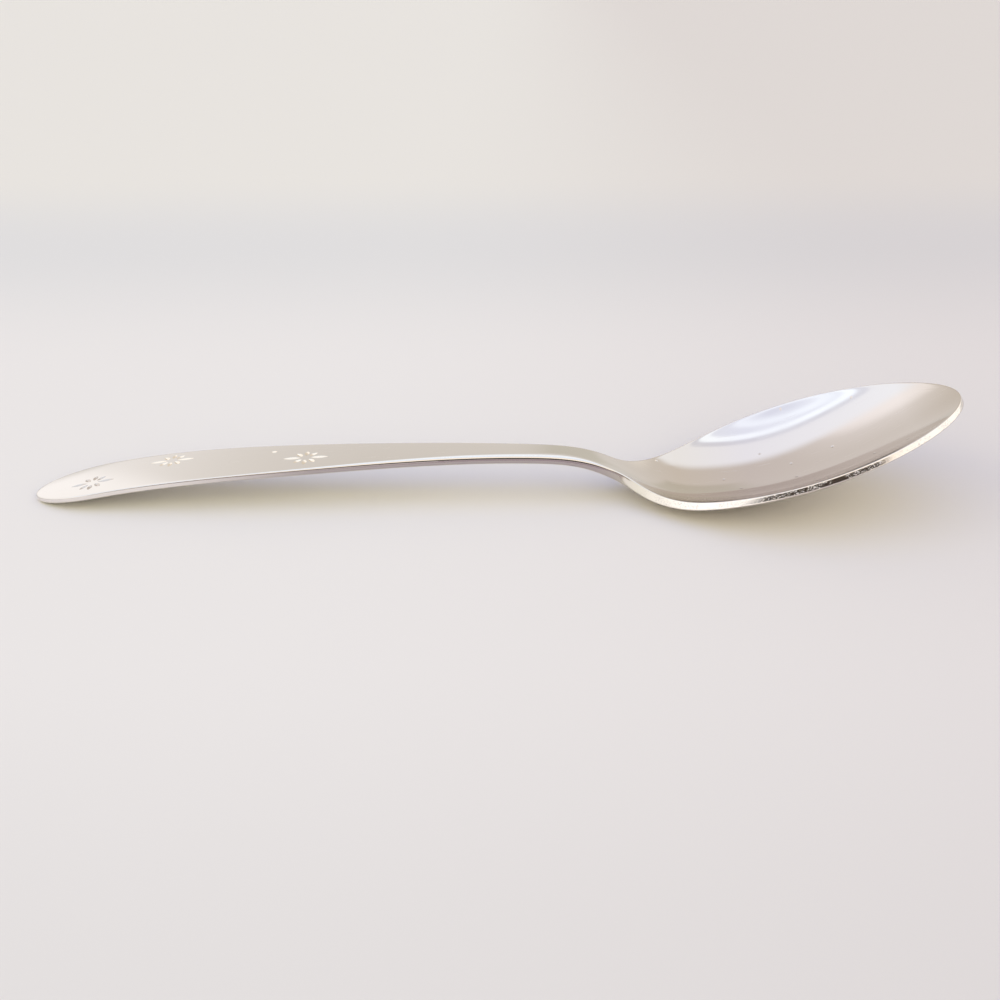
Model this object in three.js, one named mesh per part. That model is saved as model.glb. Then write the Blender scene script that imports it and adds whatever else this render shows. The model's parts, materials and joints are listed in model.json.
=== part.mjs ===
// A teaspoon, pressed from one piece of stainless steel strip.
// Millimetres, +Z up. +X runs from the handle's end to the bowl's tip, and the spoon lies on the plane z = 0.

import * as THREE from 'three';

// Lengths along the spoon, seen from above
const handleLength = 87.8; // from the handle's end to the narrowest place of the neck
const shoulderLength = 10; // from there to the root of the bowl
const bowlLength = 54; // from the root of the bowl to its tip
const handleEndLength = 11.4; // length of the rounded end

// Widths of the finished spoon
const handleWidth = 12.7;
const neckWidth = 5.7;
const bowlWidth = 32.2;

// Thickness of the strip, which is rolled thinner towards the handle's end
const handleEndThickness = 1;
const neckThickness = 1.7;
const bowlThickness = 1.1;
const thinLength = 22; // the handle keeps its end's thickness for this length
const heelLength = 27; // from the root of the bowl to where the heel has thinned to the bowl's thickness

// Rounding of the edge: how far its corners stand out beyond the upper face
const handleEndRound = 0.3;
const neckRound = 1.1;
const rimRound = 0.18;
const upperShare = 0.56; // the upper corner takes at most this share of the thickness
const lowerShare = 0.27; // and the lower corner this, so that a flat stays between them

// Form of the outline: plain numbers that shape a curve
const taperBias = 1.18; // above 1 the handle keeps its width for longer
const rootTaper = 0.86; // above 0.5 the bowl runs to a point at its root
const tipTaper = 0.66; // above 0 the bowl's tip is narrower than an ellipse
const shoulderSharpness = 2.2; // how quickly the neck flares into the bowl

// Side view: heights of the upper edge, measured above the table
const handleEndHeight = 0.7;
const riseAt = 15; // from the handle's end
const riseHeight = 3.7;
const haunchAt = 45; // from the handle's end
const haunchHeight = 6.75;
const crownBeforeNeck = 4;
const crownHeight = 7.95;
const dropAfterNeck = 6;
const dropHeight = 6.5;
const heelAfterRoot = 5;
const heelHeight = 2.95;
const rimAfterRoot = 15;
const rimHeight = 4.4;
const breastBeforeTip = 14;
const breastHeight = 12.95;
const tipHeight = 17.6;

// Pressing
const bowlDepth = 5.6; // below the rim, where the bowl is widest
const handleCrown = 0.25; // how far the handle is domed across its width
const wearDepth = 0.14; // worn off where the spoon lies on the table

// Fineness of the surface
const rows = 112; // along the spoon
const columns = 16; // across it
const cornerSteps = 3; // round each corner of the edge
const closerAtEnds = 0.3; // above 0 the rows lie closer together towards both ends
const endReach = 6; // the end rows straighten out over this many times their own bow
const probe = 0.01; // step for slopes
const halvings = 50; // passes of a search
const samples = 500; // places tried along the teardrop
const settlings = 4; // passes to lay the spoon down

// Places along the spoon
const bowlRoot = handleLength + shoulderLength;
const overallLength = bowlRoot + bowlLength;

const { lerp, smoothstep } = THREE.MathUtils;

// A measure that changes from the handle's end to the neck, and on from there to a place in the bowl
function alongSpoon(x, atEnd, atNeck, atBowl, bowlPlace) {
  const handle = lerp(atEnd, atNeck, smoothstep(x, thinLength, handleLength));
  return lerp(handle, atBowl, smoothstep(x, handleLength, bowlPlace));
}

// Strip thickness: it grows to the neck and thins again into the bowl
function thicknessAt(x) {
  return alongSpoon(x, handleEndThickness, neckThickness, bowlThickness, bowlRoot + heelLength);
}

// The edge is well rounded at the neck and nearly sharp round the bowl
function roundAt(x) {
  return alongSpoon(x, handleEndRound, neckRound, rimRound, bowlRoot + heelAfterRoot);
}

// Round the bowl the edge stands out further, because the wall leans outwards
const rimSlope = Math.atan((4 * bowlDepth) / bowlWidth);
const bowlEdge = rimRound + (bowlThickness - rimRound) * Math.sin(rimSlope);

// The upper face, inside the edges
const faceStart = handleEndRound;
const faceEnd = overallLength - bowlEdge;
const handleHalf = handleWidth / 2 - handleEndRound;
const bowlHalf = bowlWidth / 2 - bowlEdge;

// A natural cubic spline through stations [x, height], as a function of x
function splineThrough(stations) {
  const last = stations.length - 1;
  const gap = (k) => stations[k + 1][0] - stations[k][0];
  const slope = (k) => (stations[k + 1][1] - stations[k][1]) / gap(k);
  const bend = new Array(last + 1).fill(0);
  const carry = new Array(last + 1).fill(0);
  for (let k = 1; k < last; k += 1) {
    const pivot = 2 * (gap(k - 1) + gap(k)) - gap(k - 1) * carry[k - 1];
    carry[k] = gap(k) / pivot;
    bend[k] = (6 * (slope(k) - slope(k - 1)) - gap(k - 1) * bend[k - 1]) / pivot;
  }
  for (let k = last - 1; k > 0; k -= 1) {
    bend[k] -= carry[k] * bend[k + 1];
  }
  return (x) => {
    let k = 0;
    while (k < last - 1 && x > stations[k + 1][0]) {
      k += 1;
    }
    const before = stations[k + 1][0] - x;
    const after = x - stations[k][0];
    const straight = (stations[k][1] * before + stations[k + 1][1] * after) / gap(k);
    const bulge = bend[k] * (before + gap(k)) + bend[k + 1] * (after + gap(k));
    return straight - (before * after * bulge) / (6 * gap(k));
  };
}

// Height of the upper edge in the side view
const edgeHeight = splineThrough([
  [0, handleEndHeight],
  [riseAt, riseHeight],
  [haunchAt, haunchHeight],
  [handleLength - crownBeforeNeck, crownHeight],
  [handleLength + dropAfterNeck, dropHeight],
  [bowlRoot + heelAfterRoot, heelHeight],
  [bowlRoot + rimAfterRoot, rimHeight],
  [overallLength - breastBeforeTip, breastHeight],
  [overallLength, tipHeight],
]);

// Handle: a rounded end, then a long taper to the neck, which dies out inside the bowl
function handleOutline(x) {
  const roundEnd = faceStart + handleEndLength;
  if (x < roundEnd) {
    return handleHalf * Math.sqrt(Math.max(1 - ((roundEnd - x) / handleEndLength) ** 2, 0));
  }
  const along = Math.min((x - roundEnd) / (handleLength - roundEnd), 1);
  const taper = (1 + Math.cos(Math.PI * along ** taperBias)) / 2;
  const inBowl = Math.max((x - handleLength) / (faceEnd - handleLength), 0);
  const half = lerp(neckWidth, handleWidth, taper) / 2 - roundAt(x);
  return half * Math.sqrt(Math.max(1 - inBowl ** 2, 0));
}

// Bowl: a teardrop, with s running from 0 at its root to 1 at its tip
function teardrop(s) {
  return s ** rootTaper * Math.sqrt((1 - s) * (1 - tipTaper * s));
}
const teardropWidest = Math.max(...Array.from({ length: samples }, (_, k) => teardrop(k / samples)));

function bowlOutline(x) {
  const s = THREE.MathUtils.clamp((x - bowlRoot) / (faceEnd - bowlRoot), 0, 1);
  return (bowlHalf * teardrop(s)) / teardropWidest;
}

// Half the width of the upper face: handle and bowl flow into each other at the shoulder
function halfWidth(x) {
  const sum = handleOutline(x) ** shoulderSharpness + bowlOutline(x) ** shoulderSharpness;
  return sum ** (1 / shoulderSharpness);
}

// Curvature across the spoon: a slight dome on the handle, a dish in the bowl
function dishAt(x) {
  const dome = -handleCrown / handleHalf ** 2;
  const dish = bowlDepth / bowlHalf ** 2;
  return lerp(dome, dish, smoothstep(x, handleLength, bowlRoot));
}

function faceHeight(x, y) {
  return edgeHeight(x) - dishAt(x) * (halfWidth(x) ** 2 - y ** 2);
}

function faceNormal(x, y) {
  const inside = THREE.MathUtils.clamp(x, faceStart + probe, faceEnd - probe);
  const slopeX = (faceHeight(inside + probe, y) - faceHeight(inside - probe, y)) / (2 * probe);
  const slopeY = (faceHeight(inside, y + probe) - faceHeight(inside, y - probe)) / (2 * probe);
  return new THREE.Vector3(-slopeX, -slopeY, 1).normalize();
}

// Where a rising or falling measure reaches a target between two places, by halving
function findPlace(measure, target, low, high) {
  const rising = measure(high) > measure(low);
  let a = low;
  let b = high;
  for (let pass = 0; pass < halvings; pass += 1) {
    const middle = (a + b) / 2;
    if (measure(middle) < target === rising) {
      a = middle;
    } else {
      b = middle;
    }
  }
  return (a + b) / 2;
}

// The surface is a grid whose four corners lie where the outline turns through 45 degrees at each end
const outlineSlope = (x) => (halfWidth(x + probe) - halfWidth(x - probe)) / (2 * probe);
const handleCorner = findPlace(outlineSlope, 1, faceStart + probe, faceStart + handleEndLength / 2);
const bowlCorner = findPlace(outlineSlope, -1, faceEnd - bowlLength / 4, faceEnd - probe);

// How far an end row bows out beyond its corners, at a share v of its half width
function handleBow(v) {
  return handleCorner - findPlace(halfWidth, Math.abs(v) * halfWidth(handleCorner), faceStart, handleCorner);
}

function bowlBow(v) {
  return findPlace(halfWidth, Math.abs(v) * halfWidth(bowlCorner), bowlCorner, faceEnd) - bowlCorner;
}

function fadeOut(distance, bow) {
  return Math.max(1 - distance / (endReach * bow), 0) ** 3;
}

// A point of the upper face: u runs along the spoon from 0 to 1, v across it from -1 to 1
function facePoint(u, v) {
  const along = u - (closerAtEnds * Math.sin(2 * Math.PI * u)) / (2 * Math.PI);
  const station = lerp(handleCorner, bowlCorner, along);
  const back = handleBow(v) * fadeOut(station - handleCorner, handleBow(0));
  const forth = bowlBow(v) * fadeOut(bowlCorner - station, bowlBow(0));
  const x = station - back + forth;
  const y = v * halfWidth(station);
  return new THREE.Vector3(x, y, faceHeight(x, y));
}

// The grid's border, once round: along one side, across the bowl's tip, back and across the handle's end
function borderCells() {
  const cells = [];
  for (let i = 0; i < rows; i += 1) {
    cells.push([i, 0]);
  }
  for (let j = 0; j < columns; j += 1) {
    cells.push([rows, j]);
  }
  for (let i = rows; i > 0; i -= 1) {
    cells.push([i, columns]);
  }
  for (let j = columns; j > 0; j -= 1) {
    cells.push([0, j]);
  }
  return cells;
}

// The spoon's skin: upper face, lower face and the edge between them
function spoonSkin() {
  const points = [];
  const triangles = [];
  const upper = [];
  const lower = [];
  const normals = [];

  for (let i = 0; i <= rows; i += 1) {
    upper.push([]);
    lower.push([]);
    normals.push([]);
    for (let j = 0; j <= columns; j += 1) {
      const point = facePoint(i / rows, (2 * j) / columns - 1);
      const normal = faceNormal(point.x, point.y);
      normals[i].push(normal);
      upper[i].push(points.push(point) - 1);
      lower[i].push(points.push(point.clone().addScaledVector(normal, -thicknessAt(point.x))) - 1);
    }
  }

  // Quads are cut in two alike on both sides of the middle
  const addQuad = (a, b, c, d, mirrored) => {
    if (mirrored) {
      triangles.push(a, b, d, b, c, d);
    } else {
      triangles.push(a, b, c, a, c, d);
    }
  };
  for (let i = 0; i < rows; i += 1) {
    for (let j = 0; j < columns; j += 1) {
      const mirrored = j >= columns / 2;
      addQuad(upper[i][j], upper[i + 1][j], upper[i + 1][j + 1], upper[i][j + 1], mirrored);
      addQuad(lower[i][j + 1], lower[i + 1][j + 1], lower[i + 1][j], lower[i][j], mirrored);
    }
  }

  // Each place on the border carries the edge's section: a corner, a flat and a corner
  const border = borderCells();
  const sections = border.map(([i, j], place) => {
    const [nextI, nextJ] = border[(place + 1) % border.length];
    const [lastI, lastJ] = border[(place + border.length - 1) % border.length];
    const along = points[upper[nextI][nextJ]].clone().sub(points[upper[lastI][lastJ]]);
    const normal = normals[i][j];
    const outward = along.cross(normal).normalize();
    const middle = points[upper[i][j]].clone().lerp(points[lower[i][j]], 0.5);
    const thickness = thicknessAt(points[upper[i][j]].x);
    const reach = roundAt(points[upper[i][j]].x);
    const addCornerPoint = (step, side, share) => {
      const angle = (Math.PI / 2) * (step / cornerSteps);
      const drop = Math.min(reach, share * thickness);
      const point = middle.clone();
      point.addScaledVector(outward, reach * Math.sin(angle));
      point.addScaledVector(normal, side * (thickness / 2 - drop + drop * Math.cos(angle)));
      return points.push(point) - 1;
    };
    const section = [upper[i][j]];
    for (let step = 1; step <= cornerSteps; step += 1) {
      section.push(addCornerPoint(step, 1, upperShare));
    }
    for (let step = cornerSteps; step > 0; step -= 1) {
      section.push(addCornerPoint(step, -1, lowerShare));
    }
    section.push(lower[i][j]);
    return section;
  });
  sections.forEach((section, place) => {
    const next = sections[(place + 1) % sections.length];
    const mirrored = place >= rows + columns / 2 && place < 2 * rows + columns * 1.5;
    for (let step = 0; step + 1 < section.length; step += 1) {
      addQuad(section[step], section[step + 1], next[step + 1], next[step], mirrored);
    }
  });
  return { points, triangles };
}

// Lay the spoon down so that the handle's end and the bowl both touch the table, and wear it flat there
function layDown(points) {
  const lowest = (chosen) => chosen.reduce((low, point) => (point.z < low.z ? point : low));
  const tiltAxis = new THREE.Vector3(0, 1, 0);
  for (let pass = 0; pass < settlings; pass += 1) {
    const heel = lowest(points.filter((point) => point.x < handleLength));
    const toe = lowest(points.filter((point) => point.x >= handleLength));
    const tilt = Math.atan2(toe.z - heel.z, toe.x - heel.x);
    points.forEach((point) => point.applyAxisAngle(tiltAxis, tilt));
  }
  const box = new THREE.Box3().setFromPoints(points);
  const centre = box.getCenter(new THREE.Vector3());
  points.forEach((point) => {
    point.x -= centre.x;
    point.z = Math.max(point.z - box.min.z - wearDepth, 0);
  });
}

function teaspoonMesh() {
  const { points, triangles } = spoonSkin();
  layDown(points);
  const geometry = new THREE.BufferGeometry().setFromPoints(points);
  geometry.setIndex(triangles);
  geometry.computeVertexNormals();
  const steel = new THREE.MeshStandardMaterial({ color: 0xd3cdc4, roughness: 0.28, metalness: 1 });
  const mesh = new THREE.Mesh(geometry, steel);
  mesh.name = 'teaspoon';
  return mesh;
}

const teaspoon = new THREE.Group();
teaspoon.add(teaspoonMesh());

export default teaspoon;
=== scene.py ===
import json
import math
import bpy
from mathutils import Matrix, Vector

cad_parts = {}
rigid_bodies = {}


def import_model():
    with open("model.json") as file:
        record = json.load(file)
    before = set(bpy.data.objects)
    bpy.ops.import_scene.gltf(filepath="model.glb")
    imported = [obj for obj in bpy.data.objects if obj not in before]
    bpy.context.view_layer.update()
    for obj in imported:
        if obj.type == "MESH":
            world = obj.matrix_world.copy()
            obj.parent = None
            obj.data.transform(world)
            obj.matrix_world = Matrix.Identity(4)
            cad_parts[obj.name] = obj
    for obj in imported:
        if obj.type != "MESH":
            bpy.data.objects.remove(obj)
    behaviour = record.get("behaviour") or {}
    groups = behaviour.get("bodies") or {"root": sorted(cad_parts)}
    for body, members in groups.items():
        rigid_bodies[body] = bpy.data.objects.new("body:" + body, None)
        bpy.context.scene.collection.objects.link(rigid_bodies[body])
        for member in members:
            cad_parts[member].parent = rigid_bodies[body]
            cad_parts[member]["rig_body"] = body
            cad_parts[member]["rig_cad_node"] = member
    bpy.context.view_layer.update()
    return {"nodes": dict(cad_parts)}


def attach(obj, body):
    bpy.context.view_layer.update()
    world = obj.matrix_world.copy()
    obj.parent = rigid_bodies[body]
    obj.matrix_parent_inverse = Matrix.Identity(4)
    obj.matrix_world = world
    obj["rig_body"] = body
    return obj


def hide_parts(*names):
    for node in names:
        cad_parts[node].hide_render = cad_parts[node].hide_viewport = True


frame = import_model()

mm = 0.001
tiny = 0.01  # a share this small counts as nothing
mixFirst, mixSecond, mixOut = 6, 7, 2  # a Mix node's sockets for colours


def hexColour(code, level=1):
    # sRGB hex to the linear colour that the shaders work in
    parts = [int(code[k:k + 2], 16) / 255 for k in (1, 3, 5)]
    linear = [c / 12.92 if c <= 0.04045 else ((c + 0.055) / 1.055) ** 2.4 for c in parts]
    return (*[c * level for c in linear], 1)


def addNode(tree, kind, settings=None, links=None):
    node = tree.nodes.new(kind)
    for name, value in (settings or {}).items():
        if isinstance(name, int) or name in node.inputs:
            node.inputs[name].default_value = value
        else:
            setattr(node, name, value)
    for name, socket in (links or {}).items():
        tree.links.new(socket, node.inputs[name])
    return node


def colourAlong(tree, measure, stops, blend="LINEAR"):
    # each stop is a place along one axis and the colour there
    first, last = stops[0][0], stops[-1][0]
    share = addNode(tree, "ShaderNodeMapRange", {"From Min": first, "From Max": last}, {"Value": measure})
    node = addNode(tree, "ShaderNodeValToRGB", links={"Fac": share.outputs["Result"]})
    ramp = node.color_ramp
    ramp.interpolation = blend
    while len(ramp.elements) < len(stops):
        ramp.elements.new(0.5)  # its place is set below
    for element, (place, code) in zip(ramp.elements, stops):
        element.position = (place - first) / (last - first)
        element.color = hexColour(code)
    return node.outputs["Color"]


def newMaterial(name):
    material = bpy.data.materials.new(name)
    material.use_nodes = True
    return material, material.node_tree, material.node_tree.nodes["Principled BSDF"]


# the camera stands off the aim point, and its axis is turned a little from it
camera = {
    "aim": (0, 0, 8 * mm),
    "azimuth": 2.1,
    "elevation": 24.27,
    "distance": 197.3 * mm,
    "yaw": -0.66,
    "pitch": 2.35,
    "roll": -0.66,
    "lens": 43.2,
    "sensor": 36,  # in millimetres, as the lens is
    "clipStart": 10 * mm,
}


def backFrom(azimuth, elevation):
    a, e = math.radians(azimuth), math.radians(elevation)
    return Vector((math.sin(a) * math.cos(e), -math.cos(a) * math.cos(e), math.sin(e)))


def addCamera():
    back = backFrom(camera["azimuth"], camera["elevation"])
    place = Vector(camera["aim"]) + camera["distance"] * back
    turn = Matrix.Rotation(math.radians(camera["azimuth"] + camera["yaw"]), 3, "Z")
    lift = Matrix.Rotation(math.radians(90 - camera["elevation"] - camera["pitch"]), 3, "X")
    roll = Matrix.Rotation(math.radians(camera["roll"]), 3, "Z")
    bpy.ops.object.camera_add(location=place, rotation=(turn @ lift @ roll).to_euler())
    cameraObject = bpy.context.active_object
    cameraObject.data.lens = camera["lens"]
    cameraObject.data.sensor_width = camera["sensor"]
    cameraObject.data.clip_start = camera["clipStart"]
    bpy.context.scene.camera = cameraObject
    print("camera stands at", [round(v / mm, 1) for v in place], "mm")


# pale table board, whose tint changes a little along Y, with painted shade that darkens it along X
floor = {
    "size": 60,
    "roughness": 0.9,
    "gloss": 0.1,
    "front": "#E0DDDD",
    "near": "#E7E4E4",
    "foldShade": "#DDDCDD",  # painted shade: a faint darker band behind the spoon, standing in for the shade where the board bends up
    "far": "#E5E2DE",
    "frontAt": -115 * mm,
    "nearFrom": -45 * mm,
    "nearTo": 60 * mm,
    "foldAt": 160 * mm,
    "farFrom": 260 * mm,
    "left": "#FFFFFF",  # painted shade: the tint is multiplied by these two, darker to the right, standing in for the window light falling off there
    "right": "#F5F2F3",
    "fadeFrom": -40 * mm,
    "fadeTo": 125 * mm,
}


def addFloor():
    bpy.ops.mesh.primitive_plane_add(size=floor["size"])
    board = bpy.context.active_object
    board.name = "tableBoard"
    material, tree, shader = newMaterial("mattPaperBoard")  # uncoated board: no gloss to speak of
    shader.inputs["Roughness"].default_value = floor["roughness"]
    shader.inputs["Specular IOR Level"].default_value = floor["gloss"]
    place = addNode(tree, "ShaderNodeTexCoord")
    axes = addNode(tree, "ShaderNodeSeparateXYZ", links={0: place.outputs["Object"]})
    tint = colourAlong(tree, axes.outputs["Y"], (
        (floor["frontAt"], floor["front"]),
        (floor["nearFrom"], floor["near"]),
        (floor["nearTo"], floor["near"]),
        (floor["foldAt"], floor["foldShade"]),
        (floor["farFrom"], floor["far"]),
    ), "EASE")
    # painted shade: the board grows darker towards the right, as if less window light reached it
    windowFalloff = colourAlong(tree, axes.outputs["X"], (
        (floor["fadeFrom"], floor["left"]),
        (floor["fadeTo"], floor["right"]),
    ), "EASE")
    shaded = addNode(tree, "ShaderNodeVectorMath", {"operation": "MULTIPLY"}, {0: tint, 1: windowFalloff})
    tree.links.new(shaded.outputs[0], shader.inputs["Base Color"])
    board.data.materials.append(material)
    print("board laid")


# a cream room in daylight: cool light falls from the ceiling and its window, the side walls are bright,
# and the front is dark higher up
light = {
    "backWall": ("#F0EAE5", 1.0),
    "frontWall": ("#FFF4E6", 1.45),
    "frontSpread": (0.3, -0.3),  # from where to where it grows, as a share of straight back
    "leftWall": ("#FFFCFD", 1.24),
    "leftSpread": (-0.15, -0.65),
    "leftGlow": ("#FFFCFD", 1.3),  # the sunlit end of that wall, whose border leans
    "glowAxis": (1, 0, -0.2),
    "glowSpread": (-0.46, -0.557),
    "rightWall": ("#FFFAF2", 1.5),
    "rightSpread": (0.45, 0.75),
    "lowWall": ("#E7E3DE", 1.0),  # close to the horizon the walls take the board's tone
    "lowSpread": (0.15, 0.07),
    # what falls on the board: warm from the front, blue from above and little from behind
    "backFill": ("#FFF7EB", 0.69),
    "frontFill": ("#FFF9D9", 1.92),
    "frontFillSpread": (0.23, -0.04),
    "topFill": ("#C6D1FF", 1.08),
    "topFillSpread": (0.72, 0.81),
    "lowFill": ("#3C3830", 1.0),
    "lowFillSpread": (0.17, 0),
    "walls": {"ceiling": Vector((0, 0, 1)), "front": Vector((0, -1, 0)), "back": Vector((0, 1, 0))},
    "leastAhead": 0.02,  # a direction that heads less than this towards a wall misses its panels
    # panels on a wall one metre off: offset from its middle and half size in metres, turn in degrees,
    # soft edge, colour and level
    "panels": [
        ("front", (0.05, 0, 0.4), (0.5, 1, 0.6), 0, 0.3, ("#D6CCCF", 1.0)),
        ("front", (-0.09, 0, 0.86), (0.78, 1, 0.32), 0, 0.25, ("#453C36", 1.0)),
        ("back", (0.21, 0, 0.38), (0.17, 1, 0.22), 0, 0.3, ("#DED9CF", 1.0)),
        ("ceiling", (-0.23, 0.2, 0), (0.87, 0.44, 1), 0, 0.26, ("#F1F6FF", 1.43)),
        ("ceiling", (-0.2, 0.0, 0), (0.8, 0.24, 1), -8, 0.1, ("#E3EBFF", 1.34)),
        ("ceiling", (-0.25, 0.235, 0), (0.77, 0.028, 1), -8, 0.5, ("#E9EEFC", 1.24)),
        ("ceiling", (-0.25, 0.095, 0), (0.77, 0.085, 1), -8, 0.3, ("#E5EEFF", 1.5)),
        ("ceiling", (-0.25, 0.17, 0), (0.77, 0.032, 1), -8, 0.3, ("#E9F4FF", 1.85)),
        ("ceiling", (-0.17, 0.03, 0), (0.36, 0.027, 1), -16, 0.4, ("#E7F2FF", 1.8)),
    ],
}


def addLight():
    world = bpy.data.worlds.new("creamRoom")
    bpy.context.scene.world = world
    world.use_nodes = True
    tree = world.node_tree
    sky = tree.nodes["Background"]
    way = addNode(tree, "ShaderNodeTexCoord").outputs["Generated"]
    axes = addNode(tree, "ShaderNodeSeparateXYZ", links={0: way})
    leaning = addNode(tree, "ShaderNodeVectorMath", {"operation": "DOT_PRODUCT", 1: light["glowAxis"]},
                      {0: way})

    def blendWalls(first, others):
        blended = None
        for colour, measure, (start, end) in others:
            share = addNode(tree, "ShaderNodeMapRange", {
                "From Min": start,
                "From Max": end,
                "interpolation_type": "SMOOTHSTEP",
            }, {"Value": measure})
            step = addNode(tree, "ShaderNodeMix", {
                "data_type": "RGBA",
                mixFirst: hexColour(*first),
                mixSecond: hexColour(*colour),
            }, {0: share.outputs["Result"]})
            if blended:
                tree.links.new(blended, step.inputs[mixFirst])
            blended = step.outputs[mixOut]
        return blended

    room = blendWalls(light["backWall"], (
        (light["frontWall"], axes.outputs["Y"], light["frontSpread"]),
        (light["leftWall"], axes.outputs["X"], light["leftSpread"]),
        (light["leftGlow"], leaning.outputs["Value"], light["glowSpread"]),
        (light["rightWall"], axes.outputs["X"], light["rightSpread"]),
        (light["lowWall"], axes.outputs["Z"], light["lowSpread"]),
    ))
    fill = blendWalls(light["backFill"], (
        (light["frontFill"], axes.outputs["Y"], light["frontFillSpread"]),
        (light["topFill"], axes.outputs["Z"], light["topFillSpread"]),
        (light["lowFill"], axes.outputs["Z"], light["lowFillSpread"]),
    ))
    # a direction is followed until it is one metre towards the wall, and its place there is compared
    # with the panel
    for wall, offset, half, turn, softness, colour in light["panels"]:
        towards = light["walls"][wall]
        ahead = addNode(tree, "ShaderNodeVectorMath", {"operation": "DOT_PRODUCT", 1: towards}, {0: way})
        least = addNode(tree, "ShaderNodeMath", {"operation": "MAXIMUM", 1: light["leastAhead"]},
                        {0: ahead.outputs["Value"]})
        stretch = addNode(tree, "ShaderNodeMath", {"operation": "DIVIDE", 0: 1}, {1: least.outputs[0]})
        place = addNode(tree, "ShaderNodeVectorMath", {"operation": "SCALE"},
                        {0: way, "Scale": stretch.outputs[0]})
        away = addNode(tree, "ShaderNodeVectorMath", {"operation": "SUBTRACT", 1: towards + Vector(offset)},
                       {0: place.outputs[0]})
        turned = addNode(tree, "ShaderNodeVectorRotate", {"Axis": towards, "Angle": math.radians(-turn)},
                         {"Vector": away.outputs[0]})
        share = addNode(tree, "ShaderNodeVectorMath", {"operation": "DIVIDE", 1: half},
                        {0: turned.outputs[0]})
        size = addNode(tree, "ShaderNodeVectorMath", {"operation": "ABSOLUTE"}, {0: share.outputs[0]})
        parts = addNode(tree, "ShaderNodeSeparateXYZ", links={0: size.outputs[0]})
        wide = addNode(tree, "ShaderNodeMath", {"operation": "MAXIMUM"},
                       {0: parts.outputs["X"], 1: parts.outputs["Y"]})
        reach = addNode(tree, "ShaderNodeMath", {"operation": "MAXIMUM"},
                        {0: wide.outputs[0], 1: parts.outputs["Z"]})
        inside = addNode(tree, "ShaderNodeMapRange", {
            "From Min": 1 + softness,
            "From Max": 1 - softness,
            "interpolation_type": "SMOOTHSTEP",
        }, {"Value": reach.outputs[0]})
        panel = addNode(tree, "ShaderNodeMix", {"data_type": "RGBA", mixSecond: hexColour(*colour)},
                        {0: inside.outputs["Result"], mixFirst: room})
        room = panel.outputs[mixOut]
    rays = addNode(tree, "ShaderNodeLightPath")
    seen = addNode(tree, "ShaderNodeMix", {"data_type": "RGBA"},
                   {0: rays.outputs["Is Diffuse Ray"], mixFirst: room, mixSecond: fill})
    tree.links.new(seen.outputs[mixOut], sky.inputs["Color"])
    world.cycles.sampling_method = "NONE"  # so that every ray's own kind counts
    print("room lit by", len(light["panels"]), "panels")


# the spoon's body: the solid's own skin, made smooth
body = {
    "node": "teaspoon",
    "mergeWithin": 0.01 * mm,
    "quadAngle": 40,
    "smoothness": 2,
    "crispAngle": 14,
    "startInside": 0.01 * mm,
    "thickest": 2.4 * mm,  # where the metal behind a point is deeper than this, the point lies on the edge
}


def onlySelect(piece):
    bpy.ops.object.select_all(action="DESELECT")
    piece.select_set(True)
    bpy.context.view_layer.objects.active = piece


def makeBody():
    onlySelect(frame["nodes"][body["node"]])
    bpy.ops.object.duplicate()
    spoon = bpy.context.active_object
    spoon.name = "spoonBody"
    bpy.ops.object.parent_clear(type="CLEAR_KEEP_TRANSFORM")
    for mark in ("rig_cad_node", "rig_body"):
        del spoon[mark]
    spoon.data.materials.clear()
    bpy.ops.mesh.customdata_custom_splitnormals_clear()
    bpy.ops.object.mode_set(mode="EDIT")
    bpy.ops.mesh.select_all(action="SELECT")
    bpy.ops.mesh.remove_doubles(threshold=body["mergeWithin"])
    quadAngle = math.radians(body["quadAngle"])
    bpy.ops.mesh.tris_convert_to_quads(face_threshold=quadAngle, shape_threshold=quadAngle)
    bpy.ops.object.mode_set(mode="OBJECT")
    quads = sum(len(p.vertices) == 4 for p in spoon.data.polygons)
    print("body has", len(spoon.data.polygons), "faces,", quads, "of them quads")
    smooth = spoon.modifiers.new("smooth", "SUBSURF")
    smooth.levels = smooth.render_levels = body["smoothness"]
    bpy.ops.object.modifier_apply(modifier=smooth.name)
    return spoon


def markEdge(spoon):
    # the attribute is 1 on the flat edge all round and 0 on both faces
    marks = spoon.data.attributes.new("edge", "FLOAT", "POINT")
    onEdge = 0
    for k, vertex in enumerate(spoon.data.vertices):
        start = vertex.co - vertex.normal * body["startInside"]
        hit, point, _, _ = spoon.ray_cast(start, -vertex.normal)
        if hit and (point - start).length > body["thickest"]:
            marks.data[k].value = 1
            onEdge += 1
    print("edge marked at", onEdge, "of", len(spoon.data.vertices), "points")


# small starbursts struck into the handle's upper face, each of eight leaf-shaped strokes
starburst = {
    "places": [(-65.4 * mm, -2.0 * mm), (-53.0 * mm, 2.4 * mm), (-29.8 * mm, -0.9 * mm)],
    "strokes": 8,
    "innerRadius": 0.75 * mm,
    "length": 1.75 * mm,
    "width": 0.85 * mm,
    "depth": 0.22 * mm,
    "keelRound": 0.08 * mm,
    "keelSteps": 3,
    "punchSides": 128,
    "stretch": 1.75,  # the two strokes along the handle are longer
    "spare": 0.06 * mm,  # the punch reaches this far out of the face
    "cutTolerance": 0.00006 * mm,
    "rayFrom": 50 * mm,  # the face is looked for from this height, well above the spoon
    "knock": (-35.6 * mm, 2.3 * mm),  # one stray mark beside the third starburst
    "knockStretch": 0.6,
}


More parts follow.
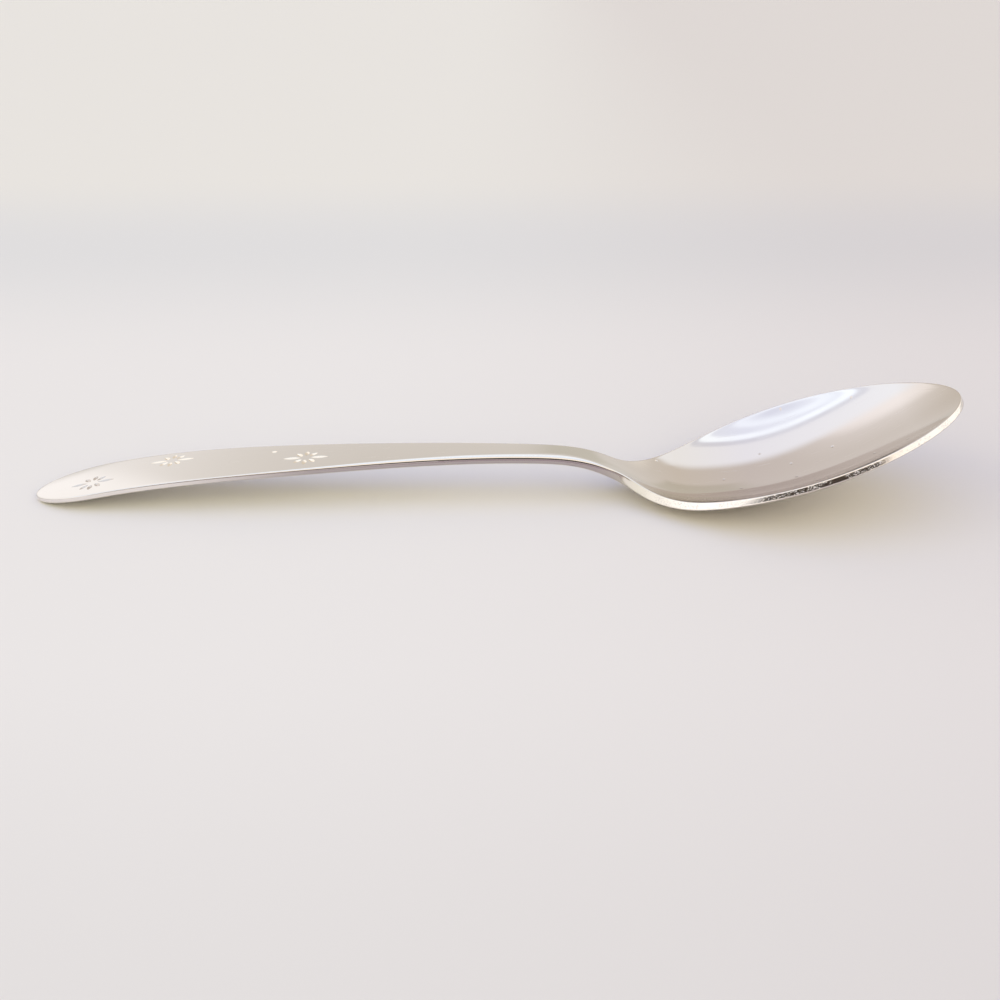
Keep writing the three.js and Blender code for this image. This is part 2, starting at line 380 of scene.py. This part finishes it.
def makePunch(finishes):
    # the keel of a double cone, lying along X: it leaves a leaf-shaped dent with a rounded bottom
    depth = starburst["depth"]
    radius = (starburst["length"] / 2) ** 2 / (2 * depth) + depth / 2
    half = starburst["width"] / 2 * radius / depth
    bpy.ops.mesh.primitive_cone_add(vertices=starburst["punchSides"], radius1=radius, depth=half,
                                    end_fill_type="NOTHING", location=(0, 0, half / 2))
    punch = bpy.context.active_object
    punch.name = "punch"
    bpy.ops.object.transform_apply(location=True)
    mirror = punch.modifiers.new("mirror", "MIRROR")
    mirror.use_axis = (False, False, True)
    bpy.ops.object.modifier_apply(modifier=mirror.name)
    bpy.ops.object.mode_set(mode="EDIT")
    bpy.ops.mesh.select_mode(type="EDGE")
    bpy.ops.mesh.select_all(action="SELECT")
    bpy.ops.mesh.normals_make_consistent(inside=False)
    bpy.ops.mesh.select_all(action="DESELECT")
    bpy.ops.object.mode_set(mode="OBJECT")
    for edge in punch.data.edges:
        edge.select = all(abs(punch.data.vertices[v].co.z) < half * tiny for v in edge.vertices)
    bpy.ops.object.mode_set(mode="EDIT")
    bpy.ops.mesh.bevel(offset=starburst["keelRound"], segments=starburst["keelSteps"], affect="EDGES")
    bpy.ops.mesh.select_all(action="SELECT")
    bpy.ops.transform.rotate(value=math.pi / 2, orient_axis="X", center_override=(0, 0, 0))
    bpy.ops.transform.translate(value=(0, 0, radius - depth))
    bpy.ops.mesh.bisect(plane_co=(0, 0, starburst["spare"]), plane_no=(0, 0, 1), use_fill=True,
                        clear_outer=True, threshold=starburst["cutTolerance"])
    bpy.ops.object.mode_set(mode="OBJECT")
    for finish in finishes:
        punch.data.materials.append(finish)
    for face in punch.data.polygons:
        face.material_index = 1  # so that the dents come out in the struck finish
    return punch


def setPunch(punch, spoon, spot, out, stretch):
    # a copy of the punch is set on the face below the spot, pointing outwards along it
    above = spot + Vector((0, 0, starburst["rayFrom"]))
    _, point, normal, _ = spoon.ray_cast(above, Vector((0, 0, -1)))
    along = (out - normal * out.dot(normal)).normalized()
    onlySelect(punch)
    bpy.ops.object.duplicate()
    stroke = bpy.context.active_object
    turned = Matrix((along, normal.cross(along), normal)).transposed().to_4x4()
    stroke.matrix_world = Matrix.Translation(point) @ turned @ Matrix.Diagonal((stretch, 1, 1, 1))
    return stroke


def strikeStarbursts(spoon):
    punch = makePunch(spoon.data.materials)
    knockSpot = Vector((*starburst["knock"], 0))
    strokes = [setPunch(punch, spoon, knockSpot, Vector((1, 0, 0)), starburst["knockStretch"])]
    for place in starburst["places"]:
        for k in range(starburst["strokes"]):
            turn = 2 * math.pi * k / starburst["strokes"]
            out = Vector((math.cos(turn), math.sin(turn), 0))
            stretch = starburst["stretch"] if abs(out.y) < tiny else 1
            spot = Vector((*place, 0)) + out * (starburst["innerRadius"] + starburst["length"] * stretch / 2)
            strokes.append(setPunch(punch, spoon, spot, out, stretch))
    onlySelect(punch)
    bpy.ops.object.delete()
    onlySelect(strokes[0])
    for stroke in strokes:
        stroke.select_set(True)
    bpy.ops.object.join()
    cutter = bpy.context.active_object
    bpy.ops.object.transform_apply(location=True, rotation=True, scale=True)
    onlySelect(spoon)
    strike = spoon.modifiers.new("strike", "BOOLEAN")
    strike.operation = "DIFFERENCE"
    strike.solver = "EXACT"
    strike.object = cutter
    bpy.ops.object.modifier_apply(modifier=strike.name)
    onlySelect(cutter)
    bpy.ops.object.delete()
    print("struck", len(strokes), "strokes in", len(starburst["places"]), "starbursts and one knock mark")


# polished 18/10 stainless steel, years in use: a bright, faintly warm metal whose mirror is softened by
# lengthwise polish lines, with hair scratches all over, specks in the bowl and nicks along its edge
steel = {
    "colour": "#DAD6D0",
    "heelColour": "#D2C9BE",  # the bowl's heel is warmer and darker
    "bowlColour": "#D0C8C5",
    "tipColour": "#D8D2CD",
    # painted shade: the bowl's far tip is darker, standing in for the darker things it reflects there
    "brinkShadeColour": "#CCC4BA",
    "rimHighlightColour": "#F8F2E8",  # painted highlight: the bowl's edge is lightened so that its reflection comes out bright
    "tipRimColour": "#E4DEDA",
    # painted highlight: the shoulder is lightened so that its reflection comes out bright
    "shoulderHighlightColour": "#D0CBBD",
    "sideShadeColour": "#B9AFAF",  # painted shade: the handle's cut sides are darker, standing in for the darker reflection they show
    "endHighlightColour": "#F4EEEA",  # painted highlight: at its end they are lighter, so that their reflection comes out bright
    "endAt": -52 * mm,
    "sideFrom": -28 * mm,
    "sideTo": 18 * mm,
    "shoulderAt": 24.5 * mm,
    "bowlFrom": 21 * mm,
    "heelAt": 32 * mm,
    "middleAt": 44 * mm,
    "tipAt": 68 * mm,
    "brinkAt": 75 * mm,
    "roughness": 0.095,
    "haze": 0.03,  # the roughness swings by this much, between the two levels of noise below
    "hazeSpan": (0.3, 0.7),
    "hazeSize": 8 * mm,
    "polishWidth": 0.16 * mm,  # real polish lines are finer: drawn as coarse as the render needs
    "polishLength": 12 * mm,
    "polishDepth": 0.0012 * mm,
    "polishInBowl": 0.1,  # the share of the lines' strength that is left in the bowl
    "scratchWidth": 0.14 * mm,  # drawn coarser than real hair scratches
    "scratchLength": 7 * mm,
    "scratchTurns": (12, 55, 118),
    "scratchCrest": (0.72, 0.78),
    "scratchRoughness": 0.22,
    "nickSize": 0.18 * mm,
    "nickDepth": 0.03 * mm,
    "nickPit": (0.58, 0.66),
    "nickCluster": 3 * mm,
    "nickCrowd": (0.38, 0.5),
    "speckSpacing": 2.2 * mm,
    "speckSize": 0.28 * mm,
    "speckShare": 0.05,
    "speckDepth": 0.08 * mm,
}


def makeSteel():
    material, tree, shader = newMaterial("polishedStainlessSteel")
    shader.inputs["Metallic"].default_value = 1
    place = addNode(tree, "ShaderNodeTexCoord").outputs["Object"]
    axes = addNode(tree, "ShaderNodeSeparateXYZ", links={0: place})
    inBowl = addNode(tree, "ShaderNodeMapRange", {
        "From Min": steel["bowlFrom"],
        "From Max": steel["heelAt"],
        "interpolation_type": "SMOOTHSTEP",
    }, {"Value": axes.outputs["X"]})
    # the face's colour along the spoon: the heel warmer and darker, painted shade at the bowl's far tip
    faceColour = colourAlong(tree, axes.outputs["X"], (
        (steel["bowlFrom"], steel["colour"]),
        (steel["heelAt"], steel["heelColour"]),
        (steel["middleAt"], steel["bowlColour"]),
        (steel["tipAt"], steel["tipColour"]),
        (steel["brinkAt"], steel["brinkShadeColour"]),
    ))
    # the edge's colour along the spoon: painted highlight at the handle's end, shoulder and bowl rim,
    # painted shade on the handle's sides
    edgeColour = colourAlong(tree, axes.outputs["X"], (
        (steel["endAt"], steel["endHighlightColour"]),
        (steel["sideFrom"], steel["sideShadeColour"]),
        (steel["sideTo"], steel["sideShadeColour"]),
        (steel["shoulderAt"], steel["shoulderHighlightColour"]),
        (steel["heelAt"], steel["rimHighlightColour"]),
        (steel["tipAt"], steel["tipRimColour"]),
    ))
    edge = addNode(tree, "ShaderNodeAttribute", {"attribute_name": "edge"})
    # the edge takes its colours, painted highlights and painted shade among them, and the faces theirs
    toneWithPaintedLight = addNode(tree, "ShaderNodeMix", {"data_type": "RGBA"},
                   {0: edge.outputs["Fac"], mixFirst: faceColour, mixSecond: edgeColour})
    tree.links.new(toneWithPaintedLight.outputs[mixOut], shader.inputs["Base Color"])

    # a faint haze makes some patches duller than others
    haze = addNode(tree, "ShaderNodeTexNoise", {"Scale": 1 / steel["hazeSize"], "Detail": 4},
                   {"Vector": place})
    sheen = addNode(tree, "ShaderNodeMapRange", {
        "From Min": steel["hazeSpan"][0],
        "From Max": steel["hazeSpan"][1],
        "To Min": steel["roughness"] - steel["haze"],
        "To Max": steel["roughness"] + steel["haze"],
    }, {"Value": haze.outputs["Fac"]})

    # hair scratches: noise drawn out along one direction, of which only the crests count
    scratches = None
    for turn in steel["scratchTurns"]:
        turned = addNode(tree, "ShaderNodeMapping", {
            "Rotation": (0, 0, math.radians(turn)),
            "Scale": (1 / steel["scratchLength"], 1 / steel["scratchWidth"], 0),
        }, {"Vector": place})
        lines = addNode(tree, "ShaderNodeTexNoise", {"Scale": 1, "Detail": 1}, {"Vector": turned.outputs[0]})
        crest = addNode(tree, "ShaderNodeMapRange", {
            "From Min": steel["scratchCrest"][0],
            "From Max": steel["scratchCrest"][1],
        }, {"Value": lines.outputs["Fac"]})
        if scratches:
            crest = addNode(tree, "ShaderNodeMath", {"operation": "MAXIMUM"},
                            {0: scratches, 1: crest.outputs[0]})
        scratches = crest.outputs[0]
    rough = addNode(tree, "ShaderNodeMath", {"operation": "MULTIPLY_ADD", 1: steel["scratchRoughness"]},
                    {0: scratches, 2: sheen.outputs["Result"]})
    tree.links.new(rough.outputs[0], shader.inputs["Roughness"])

    # polish lines run along the handle and grow faint in the bowl
    across = 1 / steel["polishWidth"]
    along = addNode(tree, "ShaderNodeMapping", {"Scale": (1 / steel["polishLength"], across, across)},
                    {"Vector": place})
    polish = addNode(tree, "ShaderNodeTexNoise", {"Scale": 1, "Detail": 3}, {"Vector": along.outputs[0]})
    onHandle = addNode(tree, "ShaderNodeMapRange", {"To Min": 1, "To Max": steel["polishInBowl"]},
                       {"Value": inBowl.outputs["Result"]})
    lined = addNode(tree, "ShaderNodeBump", {"Distance": steel["polishDepth"]},
                    {"Strength": onHandle.outputs["Result"], "Height": polish.outputs["Fac"]})

    # a few specks in the bowl: one small pit in some of the cells
    cells = addNode(tree, "ShaderNodeTexVoronoi", {
        "voronoi_dimensions": "2D",
        "Scale": 1 / steel["speckSpacing"],
    }, {"Vector": place})
    pick = addNode(tree, "ShaderNodeSeparateXYZ", links={0: cells.outputs["Color"]})
    chosen = addNode(tree, "ShaderNodeMath", {"operation": "LESS_THAN", 1: steel["speckShare"]},
                     {0: pick.outputs["X"]})
    marked = addNode(tree, "ShaderNodeMath", {"operation": "MULTIPLY"},
                     {0: chosen.outputs[0], 1: inBowl.outputs["Result"]})
    pit = addNode(tree, "ShaderNodeMapRange", {
        "From Max": steel["speckSize"] / steel["speckSpacing"],
        "interpolation_type": "SMOOTHSTEP",
    }, {"Value": cells.outputs["Distance"]})
    specked = addNode(tree, "ShaderNodeBump", {"Distance": steel["speckDepth"]}, {
        "Strength": marked.outputs[0],
        "Height": pit.outputs["Result"],
        "Normal": lined.outputs[0],
    })

    # nicks: only on the bowl's edge, in clusters
    knocked = addNode(tree, "ShaderNodeMath", {"operation": "MULTIPLY"},
                      {0: edge.outputs["Fac"], 1: inBowl.outputs["Result"]})
    clusters = addNode(tree, "ShaderNodeTexNoise", {"Scale": 1 / steel["nickCluster"]}, {"Vector": place})
    crowded = addNode(tree, "ShaderNodeMapRange", {
        "From Min": steel["nickCrowd"][0],
        "From Max": steel["nickCrowd"][1],
    }, {"Value": clusters.outputs["Fac"]})
    strength = addNode(tree, "ShaderNodeMath", {"operation": "MULTIPLY"},
                       {0: knocked.outputs[0], 1: crowded.outputs["Result"]})
    pits = addNode(tree, "ShaderNodeTexNoise", {"Scale": 1 / steel["nickSize"], "Detail": 3},
                   {"Vector": place})
    deep = addNode(tree, "ShaderNodeMapRange", {
        "From Min": steel["nickPit"][0],
        "From Max": steel["nickPit"][1],
    }, {"Value": pits.outputs["Fac"]})
    nicked = addNode(tree, "ShaderNodeBump", {"Distance": steel["nickDepth"]}, {
        "Strength": strength.outputs[0],
        "Height": deep.outputs["Result"],
        "Normal": specked.outputs[0],
    })
    tree.links.new(nicked.outputs[0], shader.inputs["Normal"])
    return material


# the same steel where a die struck it: faintly frosted, and lighter than the face around it, partly in its
# own tone and partly as a painted highlight, with painted shade in the starburst nearest the end, standing
# in for the dark things its strokes reflect
struck = {
    "colour": "#E8DECE",
    # painted shade: the strokes nearest the end are darker, standing in for the dark things they reflect
    "strokeShadeColour": "#C9C1B9",
    "strokeShadeTo": -61.5 * mm,
    "unshadedFrom": -57 * mm,
    "roughness": 0.15,
    "grainSize": 0.12 * mm,
    "grainDepth": 0.004 * mm,
}


def makeStruckSteel():
    material, tree, shader = newMaterial("struckStainlessSteel")
    shader.inputs["Metallic"].default_value = 1
    shader.inputs["Roughness"].default_value = struck["roughness"]
    place = addNode(tree, "ShaderNodeTexCoord").outputs["Object"]
    axes = addNode(tree, "ShaderNodeSeparateXYZ", links={0: place})
    # painted shade in the starburst nearest the end, fading out towards the other strokes
    colour = colourAlong(tree, axes.outputs["X"], (
        (struck["strokeShadeTo"], struck["strokeShadeColour"]),
        (struck["unshadedFrom"], struck["colour"]),
    ))
    tree.links.new(colour, shader.inputs["Base Color"])
    grain = addNode(tree, "ShaderNodeTexNoise", {"Scale": 1 / struck["grainSize"], "Detail": 2},
                    {"Vector": place})
    frost = addNode(tree, "ShaderNodeBump", {"Distance": struck["grainDepth"]},
                    {"Height": grain.outputs["Fac"]})
    tree.links.new(frost.outputs[0], shader.inputs["Normal"])
    return material


addCamera()
addFloor()
addLight()
spoonBody = makeBody()
spoonBody.data.materials.append(makeSteel())
spoonBody.data.materials.append(makeStruckSteel())
strikeStarbursts(spoonBody)
markEdge(spoonBody)
onlySelect(spoonBody)
bpy.ops.object.shade_smooth_by_angle(angle=math.radians(body["crispAngle"]))
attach(spoonBody, "root")
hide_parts(body["node"])
print("spoon has", sum(len(p.vertices) - 2 for p in spoonBody.data.polygons), "triangles")

bpy.context.scene.view_settings.view_transform = "Standard"
